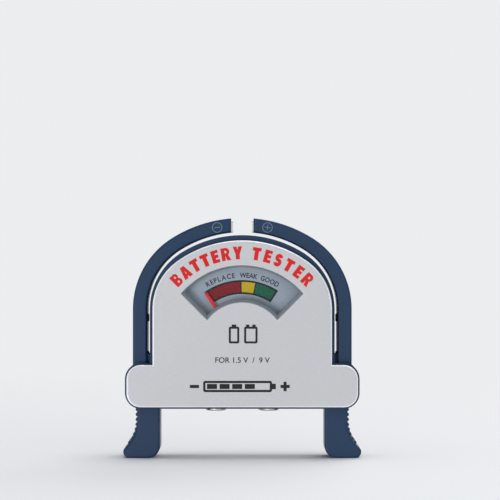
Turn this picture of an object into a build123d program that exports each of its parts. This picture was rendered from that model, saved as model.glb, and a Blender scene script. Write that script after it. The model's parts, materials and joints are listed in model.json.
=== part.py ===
"""Squeeze-to-open battery tester with a moving-coil meter.

Two one-piece levers turn on steel pins in the side wings of a flat case. Their upper halves arch over the
case and end in contact tips; their lower halves are finger grips. Squeezing the grips together opens the
tips, and torsion springs close them on a round cell. A block battery is held against the two studs under
the case, between the grips.

The frame, in millimetres: +X to the right seen from the front, +Y to the back, +Z up. The origin is at the
bottom centre, between the feet of the two grips. Outlines are drawn in the X-Z plane.
"""

from build123d import *

import os
from math import asin, atan2, cos, degrees, hypot, radians, sin, sqrt

os.makedirs("parts", exist_ok=True)

# ---- depth levels (Y), front to back ----
FRONT_Y = -10.0  # printed face
FRONT_WALL = 1.6
PARTING_Y = -7.0  # where the front cover meets the rear case
WING_SEAT_Y = 7.2  # inner face of the rear wings
BACK_WALL_Y = 8.4
BACK_Y = 10.0
FRONT_INNER_Y = FRONT_Y + FRONT_WALL
WALL = 1.4

# ---- outlines (X and Z) ----
SPRING_Z = 35.7  # level where the straight sides turn into the arch
ARM_OUTER_HALF, ARM_TOP_Z, ARM_CROWN_R = 26.2, 57.5, 31.67
ARM_THICK = 3.4
ARM_TO_CASE = 0.75
COVER_HALF, COVER_TOP_Z, COVER_CROWN_R = 21.4, 52.1, 26.67
WING_HALF, WING_BOTTOM_Z, WING_TOP_Z, WING_CORNER_R = 27.6, 12.3, 22.4, 3.4
DARK_MARGIN = 0.4  # the dark frame and case show this much below and beside the wings

# ---- levers ----
PIVOT_X, PIVOT_Z = 22.6, 17.4
PIN_R, PIN_BORE_R = 1.2, 1.25
HUB_R, HUB_FRONT_Y, HUB_BACK_Y = 4.4, -6.8, 6.6
REAR_BOSS_R = 4.3
ARM_HALF_DEPTH = 6.5
EDGE_ROUND = 0.5
TIP_X = 2.7
STOP_LEVELS = (22.8, 24.8)  # pads on the case, beside the strip, that the closed arms rest on
STOP_NEAR_Y, STOP_FAR_Y = 3.4, 5.6
OPEN_MAX = 42.0  # degrees, enough for a 61.5 mm cell between the tips
GRIP_INNER_X, GRIP_OUTER_X = 19.7, 25.15
GRIP_INNER_CORNER_R = 2.9
FLARE_START_Z = 8.8
TOE_R, TOE_ANGLE = 1.45, 50.0
TOE_CENTRE_X = 27.05
RIDGE_R, RIDGE_PITCH, RIDGE_COUNT, RIDGE_TOP_Z = 0.42, 1.2, 8, 11.6

# ---- contacts ----
STRIP_THICK, STRIP_HALF_WIDTH = 0.4, 2.5
TIP_PLATE_HALF_WIDTH = 4.6
GROOVE_CLEAR = 0.05
STRIP_END_Z = PIVOT_Z + 3.3
RIVET_LEVELS = (24.5, 33.5)
RIVET_HEAD_R, RIVET_SHANK_R, RIVET_DEPTH = 1.0, 0.6, 2.2
POLARITY_RING_R, POLARITY_LINE, POLARITY_DEPTH = 1.25, 0.22, 0.15
POLARITY_ANGLE = 11.6  # of the engraved signs, from the middle of the crown
STUD_X = 6.35  # half the 12.7 mm terminal spacing of a block battery
STUD_HEAD_R, STUD_HEAD_T, STUD_SHANK_R, STUD_UPSET = 2.5, 0.8, 1.3, 0.6
STUD_FOOT_Z = WING_BOTTOM_Z - DARK_MARGIN

# ---- return springs ----
SPRING_WIRE_R, SPRING_MEAN_R = 0.3, 2.9
SPRING_START, SPRING_END = 150.0, 270.0  # where the two tangs stand, from +Z towards +X
SPRING_TURNS = 8 + (SPRING_END - SPRING_START) / 360
SPRING_FRONT_Y, SPRING_BACK_Y = -1.2, 5.6
POCKET_R, SLEEVE_R, POCKET_FRONT_Y = 3.6, 2.2, -2.0
TANG_HOLE_R = 0.36
TAG_FRONT_Y, TAG_BACK_Y, TAG_END_X = 6.8, 7.1, 14.0

# ---- meter ----
METER_Z = 27.0
WINDOW_R, WINDOW_INNER_R = 19.25, 10.15
WINDOW_ANGLE, WINDOW_INNER_ANGLE = 50.3, 55.1
WINDOW_TOP_SLOPE, WINDOW_SIDE_SLOPE, WINDOW_BOTTOM_SLOPE = 0.55, 1.2, 0.95
LENS_LAP, LENS_THICK = 1.1, 1.2
DIAL_Y, DIAL_THICK = -5.4, 0.5
POINTER_Y, POINTER_THICK = -6.5, 0.4
POINTER_R, POINTER_REST = 15.5, -35.0
DIAL_POST_X, DIAL_POST_Z, DIAL_POST_R = 12.0, 31.5, 1.5
BRIDGE_POST_X, BRIDGE_POST_Z = 8.6, 22.0
METER_EAR_X, METER_EAR_Z = 11.6, 22.5
YOKE_R, YOKE_BORE_R, YOKE_HALF = 8.0, 6.6, 3.0
CORE_R, CORE_HALF = 4.2, 2.7
COIL_IN_R, COIL_OUT_R, COIL_IN_HALF, COIL_OUT_HALF, COIL_WIDTH = 4.7, 6.0, 3.0, 3.9, 2.4
SHAFT_R, SHAFT_FRONT_Y, SHAFT_BACK_Y = 0.45, -6.9, 5.1
FRAME_R, FRAME_FRONT_Y, FRAME_BASE_Y, FRAME_BACK_Y = 9.2, -2.5, 5.0, 6.2
BEARING_R = 1.2
BRIDGE_FRONT_Y, BRIDGE_BACK_Y = -7.5, -6.9
TERMINAL_X, TERMINAL_Z, TERMINAL_R, TERMINAL_BACK_Y = 1.8, 33.4, 0.5, 6.5
HAIRSPRING_T, HAIRSPRING_H, HAIRSPRING_END_R = 0.14, 0.4, 2.68
HAIRSPRING_TURN = 30.0  # the front hairspring's outer end, from that of the rear one

# ---- fasteners and circuit ----
CASE_SCREWS = ((-14.4, 45.0), (14.4, 45.0), (-17.3, 27.0), (17.3, 27.0))
POST_R, SLEEVE_OUT_R, POST_END_Y = 1.9, 2.6, 1.5
SCREW_R, PILOT_R, CLEAR_R, HEAD_R, COUNTERBORE_R = 0.95, 0.97, 1.25, 2.0, 2.3
HEAD_SEAT_Y = 7.6
BOARD_FRONT_Y, BOARD_BACK_Y = 5.5, 6.7
BOARD_HALF, BOARD_BOTTOM_Z, BOARD_TOP_Z = 9.5, 38.4, 49.0
BOARD_SCREW_X, BOARD_SCREW_Z = 7.5, 40.2
LEAD_R, LEAD_Y = 0.4, 7.5
SMALL_SHANK_R, SMALL_HOLE_R, SMALL_HEAD_R, SMALL_HEAD_T = 0.6, 0.62, 1.15, 0.7
# level, body radius, body length, distance of each lead's hole from the middle
RESISTORS = {
    "load_resistor": (46.6, 1.45, 8.0, 6.2),
    "block_resistor": (43.0, 1.15, 6.3, 5.0),
    "meter_resistor": (40.2, 0.9, 4.2, 3.6),
}
# distance from the middle, level, seat level in Y, shank length
SMALL_SCREWS = {
    "dial_screws": (DIAL_POST_X, DIAL_POST_Z, DIAL_Y, 3.5),
    "bridge_screws": (BRIDGE_POST_X, BRIDGE_POST_Z, BRIDGE_FRONT_Y, 4.0),
    "meter_screws": (METER_EAR_X, METER_EAR_Z, FRAME_BASE_Y, 3.0),
    "board_screws": (BOARD_SCREW_X, BOARD_SCREW_Z, BOARD_FRONT_Y, 2.6),
}


# ================= helpers =================


def slab(sketch, front_y, back_y, taper=0.0):
    """A sketch in (x, z), filled from front_y to back_y. A taper narrows it towards the back."""
    if taper:
        return extrude(Plane.XZ.offset(-front_y) * sketch, amount=front_y - back_y, taper=taper)
    return extrude(Plane.XZ.offset(-back_y) * sketch, amount=back_y - front_y)


def disc(x, z, r):
    return Pos(x, z) * Circle(r)


def rod(x, z, r, front_y, back_y):
    """A round bar along Y."""
    return slab(disc(x, z, r), front_y, back_y)


def block(x0, x1, y0, y1, z0, z1):
    return Pos((x0 + x1) / 2, (y0 + y1) / 2, (z0 + z1) / 2) * Box(x1 - x0, y1 - y0, z1 - z0)


def polar(cx, cz, r, angle):
    """A point at angle degrees from +Z towards +X."""
    return (cx + r * sin(radians(angle)), cz + r * cos(radians(angle)))


def arc(cx, cz, r, start, end):
    """An arc from start to end, in degrees from +Z towards +X."""
    return ThreePointArc(
        polar(cx, cz, r, start), polar(cx, cz, r, (start + end) / 2), polar(cx, cz, r, end)
    )


def sector(r_in, r_out, angle_in, angle_out):
    """An annular sector about the meter axis whose side lines join two different half angles."""
    outer = arc(0, METER_Z, r_out, -angle_out, angle_out)
    inner = arc(0, METER_Z, r_in, angle_in, -angle_in)
    return make_face([outer, Line(outer @ 1, inner @ 0), inner, Line(inner @ 1, outer @ 0)])


def wire(points, r, bend):
    """A round wire through points, with its corners turned at radius bend."""
    path = FilletPolyline(*points, radius=bend) if len(points) > 2 else Line(*points)
    return sweep(Plane(origin=path @ 0, z_dir=path % 0) * Circle(r), path=path)


def left_of(shape):
    """The same piece mirrored to the left side."""
    return mirror(shape, about=Plane.YZ)


def both_sides(shape):
    return Compound(children=[left_of(shape), shape])


def cross_recess(x, z, face_y, size, depth, toward=1):
    """A cross-shaped driver recess for a head whose face is at face_y. toward is +1 if it faces the front."""
    far_y = face_y + toward * depth
    low, high = min(face_y, far_y), max(face_y, far_y)
    bar = size / 4
    return slab(Pos(x, z) * (Rectangle(size, bar) + Rectangle(bar, size)), low, high)


class Arch:
    """Straight sides up to SPRING_Z, then a shoulder arc, a crown arc and a shoulder arc, all tangent."""

    def __init__(self, half, crown_z, crown_r, shoulder_r=None):
        self.half, self.crown_z, self.crown_r = half, crown_z, crown_r
        rise = crown_z - SPRING_Z
        self.shoulder_r = shoulder_r or (crown_r**2 - half**2 - (crown_r - rise) ** 2) / (
            2 * (crown_r - half)
        )
        self.shoulder_x = half - self.shoulder_r
        self.crown_centre_z = crown_z - crown_r
        self.join_angle = degrees(atan2(self.shoulder_x, SPRING_Z - self.crown_centre_z))

    def grown(self, d):
        return Arch(self.half + d, self.crown_z + d, self.crown_r + d, self.shoulder_r + d)

    def face(self, bottom_z):
        """The filled outline, closed by a straight line at bottom_z."""
        right = arc(self.shoulder_x, SPRING_Z, self.shoulder_r, 90, self.join_angle)
        crown = arc(0, self.crown_centre_z, self.crown_r, self.join_angle, -self.join_angle)
        left = arc(-self.shoulder_x, SPRING_Z, self.shoulder_r, -self.join_angle, -90)
        base = Polyline(left @ 1, (-self.half, bottom_z), (self.half, bottom_z), right @ 0)
        return make_face([right, crown, left, *base.edges()])


ARM_OUTER = Arch(ARM_OUTER_HALF, ARM_TOP_Z, ARM_CROWN_R)
ARM_INNER = ARM_OUTER.grown(-ARM_THICK)
CASE = ARM_INNER.grown(-ARM_TO_CASE)
COVER = Arch(COVER_HALF, COVER_TOP_Z, COVER_CROWN_R)


def wings(margin=0.0):
    """The wide foot of the case, seen from the front."""
    return Pos(0, (WING_BOTTOM_Z + WING_TOP_Z) / 2) * RectangleRounded(
        2 * (WING_HALF + margin), WING_TOP_Z - WING_BOTTOM_Z + 2 * margin, WING_CORNER_R + margin
    )


def right_half(x0, z0, z1, x1=40.0):
    return Pos((x0 + x1) / 2, (z0 + z1) / 2) * Rectangle(x1 - x0, z1 - z0)


# ================= levers =================


def flare_radius():
    """Radius of the concave arc from the grip's straight outer edge out to its toe."""
    end_x, end_z = toe_start()
    dx, dz = end_x - GRIP_OUTER_X, FLARE_START_Z - end_z
    return (dx * dx + dz * dz) / (2 * dx)


def toe_start():
    return (
        TOE_CENTRE_X + TOE_R * cos(radians(TOE_ANGLE)),
        TOE_R + TOE_R * sin(radians(TOE_ANGLE)),
    )


def grip_face():
    """The finger grip below the hub of the right lever."""
    r, flare_r = GRIP_INNER_CORNER_R, flare_radius()
    flare_end = toe_start()
    flare_turn = degrees(asin((FLARE_START_Z - flare_end[1]) / flare_r))
    flare = arc(GRIP_OUTER_X + flare_r, FLARE_START_Z, flare_r, -90, -90 - flare_turn)
    toe = arc(TOE_CENTRE_X, TOE_R, TOE_R, 90 - TOE_ANGLE, 180)
    foot = Line(toe @ 1, (GRIP_INNER_X + r, 0))
    heel = arc(GRIP_INNER_X + r, r, r, 180, 270)
    rest = Polyline(heel @ 1, (GRIP_INNER_X, PIVOT_Z), (GRIP_OUTER_X, PIVOT_Z), flare @ 0)
    return make_face([flare, Line(flare @ 1, toe @ 0), toe, foot, heel, *rest.edges()])


def ridge_centres():
    """Places of the anti-slip ridges, evenly spaced down the grip's outer edge."""
    flare_r = flare_radius()
    straight = RIDGE_TOP_Z - FLARE_START_Z
    for i in range(RIDGE_COUNT):
        s = i * RIDGE_PITCH
        if s <= straight:
            yield (GRIP_OUTER_X, RIDGE_TOP_Z - s)
        else:
            turn = degrees((s - straight) / flare_r)
            yield polar(GRIP_OUTER_X + flare_r, FLARE_START_Z, flare_r, -90 - turn)


def arm_band(inner, outer, tip_x, foot_z):
    """The part of the ring between two arches that lies right of tip_x and above foot_z."""
    ring = outer.face(0) - inner.face(-1)
    return ring & right_half(tip_x, foot_z, ARM_TOP_Z + 5)


def lever_right():
    arm = slab(
        arm_band(ARM_INNER, ARM_OUTER, TIP_X, PIVOT_Z) + grip_face(),
        -ARM_HALF_DEPTH,
        ARM_HALF_DEPTH,
    )
    rim = arm.faces().filter_by(Axis.Y).edges()
    arm = fillet(rim, EDGE_ROUND)
    ridge_half = ARM_HALF_DEPTH - 2 * EDGE_ROUND
    for x, z in ridge_centres():
        arm += rod(x, z, RIDGE_R, -ridge_half, ridge_half)
    lever = arm + rod(PIVOT_X, PIVOT_Z, HUB_R, HUB_FRONT_Y, HUB_BACK_Y)
    lever -= rod(PIVOT_X, PIVOT_Z, PIN_BORE_R, HUB_FRONT_Y - 1, HUB_BACK_Y + 1)
    pocket = disc(PIVOT_X, PIVOT_Z, POCKET_R) - disc(PIVOT_X, PIVOT_Z, SLEEVE_R)
    lever -= slab(pocket, POCKET_FRONT_Y, HUB_BACK_Y + 1)
    lever -= rod(*spring_tang(SPRING_START), TANG_HOLE_R, POCKET_FRONT_Y - 1.8, 0)
    groove = arm_band(ARM_INNER.grown(-1), ARM_INNER.grown(STRIP_THICK + GROOVE_CLEAR), 0, STRIP_END_Z)
    groove_half = STRIP_HALF_WIDTH + GROOVE_CLEAR
    lever -= slab(groove, -groove_half, groove_half)
    tip_recess = right_half(0, ARM_INNER.crown_z - 1, ARM_TOP_Z - 0.45, TIP_X)
    lever -= slab(tip_recess, -TIP_PLATE_HALF_WIDTH, TIP_PLATE_HALF_WIDTH)
    for z in RIVET_LEVELS:
        lever -= rivet_bar(z, RIVET_SHANK_R + 0.02, RIVET_DEPTH + 0.05)
    return lever - polarity_ring()


def polarity_centre():
    middle_r = ARM_OUTER.crown_r - ARM_THICK / 2
    return polar(0, ARM_OUTER.crown_centre_z, middle_r, POLARITY_ANGLE)


def polarity_ring():
    """A shallow engraved circle near the tip, which frames the polarity sign."""
    x, z = polarity_centre()
    ring = disc(x, z, POLARITY_RING_R) - disc(x, z, POLARITY_RING_R - POLARITY_LINE)
    return slab(ring, -ARM_HALF_DEPTH, -ARM_HALF_DEPTH + POLARITY_DEPTH)


def polarity_sign(plus):
    """The engraved bar of a minus sign, or the cross of a plus sign, on the right lever."""
    x, z = polarity_centre()
    length = 1.2 * POLARITY_RING_R
    sign = Rectangle(length, POLARITY_LINE)
    if plus:
        sign += Rectangle(POLARITY_LINE, length)
    sign = Pos(x, z) * (Rot(0, 0, -POLARITY_ANGLE) * sign)
    return slab(sign, -ARM_HALF_DEPTH, -ARM_HALF_DEPTH + POLARITY_DEPTH)


def rivet_bar(z, r, depth):
    """A round bar along X through the inner face of the right arm's straight part."""
    start = ARM_INNER.half
    return Plane(origin=(start, 0, z), z_dir=(1, 0, 0)) * extrude(Circle(r), amount=depth)


def strip_rivets():
    rivets = []
    for z in RIVET_LEVELS:
        head = Plane(origin=(ARM_INNER.half, 0, z), z_dir=(-1, 0, 0)) * extrude(
            Circle(RIVET_HEAD_R), amount=0.35, taper=25
        )
        rivets.append(head + rivet_bar(z, RIVET_SHANK_R, RIVET_DEPTH))
    return Compound(children=rivets)


def contact_strip():
    """The nickelled strip in the right arm's groove, bent up over the tip's end face."""
    runner = arm_band(ARM_INNER, ARM_INNER.grown(STRIP_THICK), TIP_X - STRIP_THICK, STRIP_END_Z)
    strip = slab(runner, -STRIP_HALF_WIDTH, STRIP_HALF_WIDTH)
    foot_z = ARM_INNER.crown_centre_z + sqrt(ARM_INNER.crown_r**2 - (TIP_X - STRIP_THICK) ** 2)
    plate = block(
        TIP_X - STRIP_THICK, TIP_X, -TIP_PLATE_HALF_WIDTH, TIP_PLATE_HALF_WIDTH, foot_z, ARM_TOP_Z - 0.5
    )
    corners = plate.edges().filter_by(Axis.X).group_by(Axis.Z)[-1]
    plate = fillet(corners, 0.6)
    strip += plate
    for z in RIVET_LEVELS:
        strip -= Pos(-1, 0, 0) * rivet_bar(z, RIVET_SHANK_R + 0.02, 3)
    return strip


def pivot_pins():
    return both_sides(rod(PIVOT_X, PIVOT_Z, PIN_R, -8.8, 9.0))


def spring_tang(angle):
    return polar(PIVOT_X, PIVOT_Z, SPRING_MEAN_R, angle)


def return_spring():
    """The right torsion spring: a coil round the hub's sleeve, with a tang along the axis at each end."""
    height = SPRING_BACK_Y - SPRING_FRONT_Y
    helix = Helix(
        pitch=height / SPRING_TURNS,
        height=height,
        radius=SPRING_MEAN_R,
        center=(0, SPRING_FRONT_Y, 0),
        direction=(0, 1, 0),
    )
    path = Pos(PIVOT_X, 0, PIVOT_Z) * (Rot(0, SPRING_START, 0) * helix)
    spring = sweep(Plane(origin=path @ 0, z_dir=path % 0) * Circle(SPRING_WIRE_R), path=path)
    spring += rod(*spring_tang(SPRING_START), SPRING_WIRE_R, POCKET_FRONT_Y - 1.6, SPRING_FRONT_Y)
    spring += rod(*spring_tang(SPRING_END), SPRING_WIRE_R, SPRING_BACK_Y, BACK_WALL_Y - 0.1)
    for end in (path @ 0, path @ 1):
        spring += Pos(*end) * Sphere(SPRING_WIRE_R)
    return spring


# ================= case =================


def front_cover():
    """The silver face plate, with the posts and bosses behind it."""
    shell = slab(COVER.face(WING_BOTTOM_Z) + wings(), FRONT_Y, FRONT_INNER_Y)
    shell = fillet(shell.faces().sort_by(Axis.Y)[0].edges(), 0.45)
    for side in (-1, 1):
        shell += rod(side * PIVOT_X, PIVOT_Z, 3.0, FRONT_INNER_Y - 0.2, PARTING_Y)
        shell -= rod(side * PIVOT_X, PIVOT_Z, PIN_R + 0.02, -8.9, PARTING_Y + 1)
    for x, z in CASE_SCREWS:
        shell += rod(x, z, POST_R, FRONT_INNER_Y - 0.2, POST_END_Y)
        shell -= rod(x, z, PILOT_R, -6.4, POST_END_Y + 1)
    return shell - window_cut()


def front_frame():
    """The dark frame between the silver cover and the rear case, which shows as a thin rim all round."""
    outline = CASE.face(WING_BOTTOM_Z - DARK_MARGIN) + wings(DARK_MARGIN)
    ring = outline - offset(outline, -WALL, kind=Kind.INTERSECTION)
    return slab(ring, FRONT_INNER_Y, PARTING_Y)


def window_outline(slope):
    """The window at the printed face for slope 0, and at the back of the front wall for slope 1."""
    r_in = WINDOW_INNER_R + slope * WINDOW_BOTTOM_SLOPE
    r_out = WINDOW_R - slope * WINDOW_TOP_SLOPE
    side = slope * WINDOW_SIDE_SLOPE
    return sector(
        r_in, r_out, WINDOW_INNER_ANGLE - degrees(side / r_in), WINDOW_ANGLE - degrees(side / r_out)
    )


def window_cut():
    """The window opening, which narrows from the printed face to the back of the front wall."""
    wide, narrow = window_outline(0), window_outline(1)
    faces = [
        Plane.XZ.offset(-FRONT_Y) * wide,
        Plane.XZ.offset(-FRONT_INNER_Y) * narrow,
    ]
    cut = loft(faces, ruled=True)
    return cut + slab(narrow, FRONT_INNER_Y - 0.01, FRONT_INNER_Y + 0.5)


def window_lens():
    return slab(offset(window_outline(1), LENS_LAP), FRONT_INNER_Y, FRONT_INNER_Y + LENS_THICK)


def lever_room():
    """The space that the right lever's hub and grip sweep, with clearance, seen from the front."""
    clear = 0.45
    reach = PIVOT_X - GRIP_INNER_X + clear - 0.05
    turn = radians(OPEN_MAX)
    start = (PIVOT_X - reach * cos(turn), PIVOT_Z + reach * sin(turn))
    end = (start[0] - 14 * sin(turn), start[1] - 14 * cos(turn))
    swept = make_face(Polyline(start, end, (34, end[1]), (34, PIVOT_Z), (PIVOT_X, PIVOT_Z), close=True))
    return swept + disc(PIVOT_X, PIVOT_Z, HUB_R + clear)


def rear_case():
    margin = DARK_MARGIN
    outline = CASE.face(WING_BOTTOM_Z - margin) + wings(margin)
    case = slab(outline, BACK_WALL_Y, BACK_Y)
    case = fillet(case.faces().sort_by(Axis.Y)[-1].edges(), 1.2)
    room = lever_room()
    shell_2d = CASE.face(WING_BOTTOM_Z - margin) - room - mirror(room, about=Plane.YZ)
    walls = shell_2d - offset(shell_2d, -WALL, kind=Kind.INTERSECTION)
    case += slab(walls, PARTING_Y, BACK_WALL_Y)
    wing_rim = wings(margin) - offset(wings(margin), -WALL)
    for side in (-1, 1):
        rim_side = wing_rim & (Pos(side * 24.0, PIVOT_Z) * Rectangle(14, 30))
        case += slab(rim_side, WING_SEAT_Y, BACK_WALL_Y)
        case += rod(side * PIVOT_X, PIVOT_Z, REAR_BOSS_R, WING_SEAT_Y, BACK_WALL_Y)
        case -= rod(side * PIVOT_X, PIVOT_Z, PIN_R + 0.02, WING_SEAT_Y - 1, 9.1)
        tang_x, tang_z = spring_tang(SPRING_END)
        case -= rod(side * tang_x, tang_z, TANG_HOLE_R, WING_SEAT_Y - 1, BACK_WALL_Y)
        tag_slot = block(15.0, 18.6, TAG_FRONT_Y - 0.1, TAG_BACK_Y + 0.9, PIVOT_Z - 1.1, PIVOT_Z + 1.1)
        case -= tag_slot if side > 0 else left_of(tag_slot)
    for x, z in CASE_SCREWS:
        case += rod(x, z, SLEEVE_OUT_R, POST_END_Y, BACK_WALL_Y) & slab(CASE.face(0), -20, 20)
        case -= rod(x, z, CLEAR_R, POST_END_Y - 1, BACK_Y + 1)
        case -= rod(x, z, COUNTERBORE_R, HEAD_SEAT_Y, BACK_Y + 1)
    for x in (-METER_EAR_X, METER_EAR_X):
        case += rod(x, METER_EAR_Z, 1.7, FRAME_BACK_Y, BACK_WALL_Y)
        case -= rod(x, METER_EAR_Z, SMALL_HOLE_R, FRAME_BACK_Y - 1, BACK_WALL_Y)
    for x in (-BOARD_SCREW_X, BOARD_SCREW_X):
        case += rod(x, BOARD_SCREW_Z, 1.5, BOARD_BACK_Y, BACK_WALL_Y)
        case -= rod(x, BOARD_SCREW_Z, SMALL_HOLE_R, BOARD_BACK_Y - 1, BACK_WALL_Y)
    for x in (-STUD_X, STUD_X):
        case -= Pos(x, 0, WING_BOTTOM_Z) * Cylinder(STUD_SHANK_R + 0.02, 6)
    for front_y in (-STOP_FAR_Y, STOP_NEAR_Y):
        back_y = front_y + STOP_FAR_Y - STOP_NEAR_Y
        case += both_sides(block(CASE.half - 0.2, ARM_INNER.half, front_y, back_y, *STOP_LEVELS))
    return case - label_recess()


def label_recess():
    """A shallow rounded recess on the back for a rating label."""
    return slab(Pos(0, 33.0) * RectangleRounded(24.0, 17.0, 1.5), BACK_Y - 0.3, BACK_Y + 1)


def case_screws():
    """Four pan-head screws, driven from the back. Their threads are drawn at core diameter."""
    screws = []
    for x, z in CASE_SCREWS:
        head = rod(x, z, HEAD_R, HEAD_SEAT_Y, HEAD_SEAT_Y + 1.3)
        head = fillet(head.faces().sort_by(Axis.Y)[-1].edges(), 0.5)
        head -= cross_recess(x, z, HEAD_SEAT_Y + 1.3, 2.2, 0.8, toward=-1)
        screws.append(head + rod(x, z, SCREW_R, -5.8, HEAD_SEAT_Y))
    return Compound(children=screws)


# ================= contacts of the case =================


def spring_tags():
    """Brass tags that join the springs' fixed tangs to the leads."""
    tang_x, tang_z = spring_tang(SPRING_END)
    tag = Pos((TAG_END_X + tang_x + 0.8) / 2, PIVOT_Z) * Rectangle(tang_x + 0.8 - TAG_END_X, 1.8)
    tag -= disc(tang_x, tang_z, TANG_HOLE_R)
    return both_sides(slab(tag, TAG_FRONT_Y, TAG_BACK_Y))


def block_stud(x):
    """A riveted stud for one terminal of a block battery, through the case's bottom wall."""
    head = Pos(x, 0, STUD_FOOT_Z - STUD_HEAD_T / 2) * Cylinder(STUD_HEAD_R, STUD_HEAD_T)
    head = fillet(head.faces().sort_by(Axis.Z)[0].edges(), 0.35)
    shank = Pos(x, 0, STUD_FOOT_Z + WALL / 2) * Cylinder(STUD_SHANK_R, WALL)
    upset = Pos(x, 0, STUD_FOOT_Z + WALL + STUD_UPSET / 2) * Cylinder(2.0, STUD_UPSET)
    return head + shank + upset


def leads():
    """Insulated wires along the back wall, soldered to the back of the circuit board."""
    side_run = [
        (TAG_END_X + 0.5, LEAD_Y, PIVOT_Z),
        (8.4, LEAD_Y, PIVOT_Z + 1.2),
        (8.0, LEAD_Y, 33.5),
        (5.6, LEAD_Y, 37.5),
        (5.0, LEAD_Y, BOARD_BOTTOM_Z + 4.6),
        (5.0, BOARD_BACK_Y, BOARD_BOTTOM_Z + 4.6),
    ]
    side = wire(side_run, LEAD_R, 0.6)
    stud_run = [
        (STUD_X, 0, STUD_FOOT_Z + WALL + STUD_UPSET),
        (STUD_X, 0, 15.6),
        (STUD_X - 1.2, LEAD_Y, 16.4),
        (STUD_X - 2.2, LEAD_Y, 30.0),
        (3.2, LEAD_Y, BOARD_BOTTOM_Z + 7.4),
        (3.2, BOARD_BACK_Y, BOARD_BOTTOM_Z + 7.4),
    ]
    middle = wire(stud_run, LEAD_R, 0.6)
    meter_run = [
        (TERMINAL_X, TERMINAL_BACK_Y, TERMINAL_Z),
        (TERMINAL_X, LEAD_Y, TERMINAL_Z),
        (TERMINAL_X, LEAD_Y, BOARD_BOTTOM_Z + 1.6),
        (TERMINAL_X, BOARD_BACK_Y, BOARD_BOTTOM_Z + 1.6),
    ]
    return left_of(side), side, both_sides(middle), both_sides(wire(meter_run, LEAD_R, 0.6))


# ================= meter =================


def meter_frame():
    """The moulded base of the meter, with posts for its dial and its front bridge."""
    frame = rod(0, METER_Z, FRAME_R, FRAME_FRONT_Y, FRAME_BACK_Y)
    frame -= rod(0, METER_Z, YOKE_R - 0.8, 0, FRAME_BASE_Y)
    for side in (-1, 1):
        foot = Pos(side * 9.8, METER_EAR_Z) * Rectangle(3.6, 2.4)
        frame += slab(foot, FRAME_BASE_Y, FRAME_BACK_Y)
        web = Pos(side * 9.6, DIAL_POST_Z) * Rectangle(4.8, 1.6)
        frame += slab(web, 3.5, FRAME_BACK_Y)
        frame += rod(side * DIAL_POST_X, DIAL_POST_Z, DIAL_POST_R, DIAL_Y + DIAL_THICK, FRAME_BACK_Y)
        frame -= rod(side * DIAL_POST_X, DIAL_POST_Z, SMALL_HOLE_R, DIAL_Y - 1, 0)
        frame += rod(side * BRIDGE_POST_X, BRIDGE_POST_Z, 1.3, BRIDGE_BACK_Y, FRAME_BACK_Y)
        frame -= rod(side * BRIDGE_POST_X, BRIDGE_POST_Z, SMALL_HOLE_R, BRIDGE_BACK_Y - 1, 0)
        frame += rod(side * METER_EAR_X, METER_EAR_Z, 1.7, FRAME_BASE_Y, FRAME_BACK_Y)
        frame -= rod(side * METER_EAR_X, METER_EAR_Z, SMALL_HOLE_R + 0.08, 0, FRAME_BACK_Y + 1)
        frame -= rod(side * TERMINAL_X, TERMINAL_Z, TERMINAL_R + 0.02, FRAME_BASE_Y - 1, FRAME_BACK_Y + 1)
    frame -= rod(0, METER_Z, YOKE_R + 0.02, FRAME_FRONT_Y - 5, YOKE_HALF)
    return frame - rod(0, METER_Z, BEARING_R + 0.02, 0, FRAME_BACK_Y + 1)


def meter_terminals():
    """Two brass eyelets through the meter's base."""
    eyelet = rod(TERMINAL_X, TERMINAL_Z, TERMINAL_R, FRAME_BASE_Y - 0.3, FRAME_BACK_Y)
    return both_sides(eyelet + rod(TERMINAL_X, TERMINAL_Z, 0.85, FRAME_BACK_Y, TERMINAL_BACK_Y))


def meter_yoke():
    ring = disc(0, METER_Z, YOKE_R) - disc(0, METER_Z, YOKE_BORE_R)
    return slab(ring, -YOKE_HALF, YOKE_HALF)


def core_magnet():
    core = rod(0, METER_Z, CORE_R, -CORE_HALF, CORE_HALF)
    return core - rod(0, METER_Z, SHAFT_R + 0.35, -5, 5)


def core_clips():
    """Two brass spacers, above and below the core, that hold it in the yoke clear of the coil's sweep."""
    gap = disc(0, METER_Z, YOKE_BORE_R) - disc(0, METER_Z, CORE_R)
    clips = [
        slab(gap & (Pos(0, METER_Z + side * 5.4) * Rectangle(3.0, 4.0)), -2.2, 2.2) for side in (-1, 1)
    ]
    return Compound(children=clips)


def front_bridge():
    """The plate over the pointer's hub that carries the front bearing screw."""
    arm_angle = degrees(atan2(BRIDGE_POST_Z - METER_Z, BRIDGE_POST_X))
    length = hypot(BRIDGE_POST_X, BRIDGE_POST_Z - METER_Z)
    plate = disc(0, METER_Z, 2.1)
    for turn in (arm_angle, 180 - arm_angle):
        plate += Pos(0, METER_Z) * (Rot(0, 0, turn) * (Pos(length / 2, 0) * Rectangle(length, 2.0)))
    for side in (-1, 1):
        plate += disc(side * BRIDGE_POST_X, BRIDGE_POST_Z, 1.4)
        plate -= disc(side * BRIDGE_POST_X, BRIDGE_POST_Z, SMALL_HOLE_R + 0.05)
    plate -= disc(0, METER_Z, BEARING_R + 0.02)
    return slab(plate, BRIDGE_FRONT_Y, BRIDGE_BACK_Y)


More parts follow.
